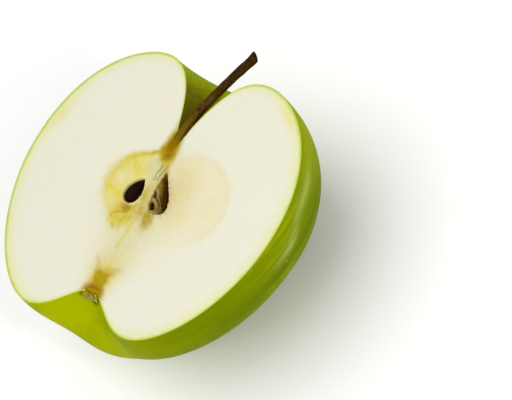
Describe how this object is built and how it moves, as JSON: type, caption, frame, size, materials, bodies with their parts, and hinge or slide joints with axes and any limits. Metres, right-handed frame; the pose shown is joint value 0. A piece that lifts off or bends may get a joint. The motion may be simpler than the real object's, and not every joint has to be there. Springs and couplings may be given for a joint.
{
  "type": "apple half",
  "caption": "Half of a large green apple cut lengthwise through the core, with its stem, pips and dried calyx, lying on its round back.",
  "frame": {"origin": "middle of the small flat spot on the round back that the half rests on", "axes": "+Z is the normal of the level cut face, which looks up; +Y runs along the core towards the stem; +X points to the right lobe as seen from above with the stem away from the viewer"},
  "size_m": [0.0801, 0.0798, 0.0396],
  "materials": {
    "apple_flesh": "moist, pale cream flesh with a slightly translucent look",
    "apple_skin": "smooth waxy yellow-green skin with fine pale dots",
    "stem": "dry brown bark, yellow-brown at its foot",
    "seed": "dark brown, smooth and shiny",
    "calyx": "dry, fuzzy, grey-brown leaves"
  },
  "bodies": {
    "root": {"apple_half": "apple_flesh", "stem": "stem", "seed_left": "seed", "seed_right": "seed", "calyx": "calyx"}
  },
  "joints": []
}
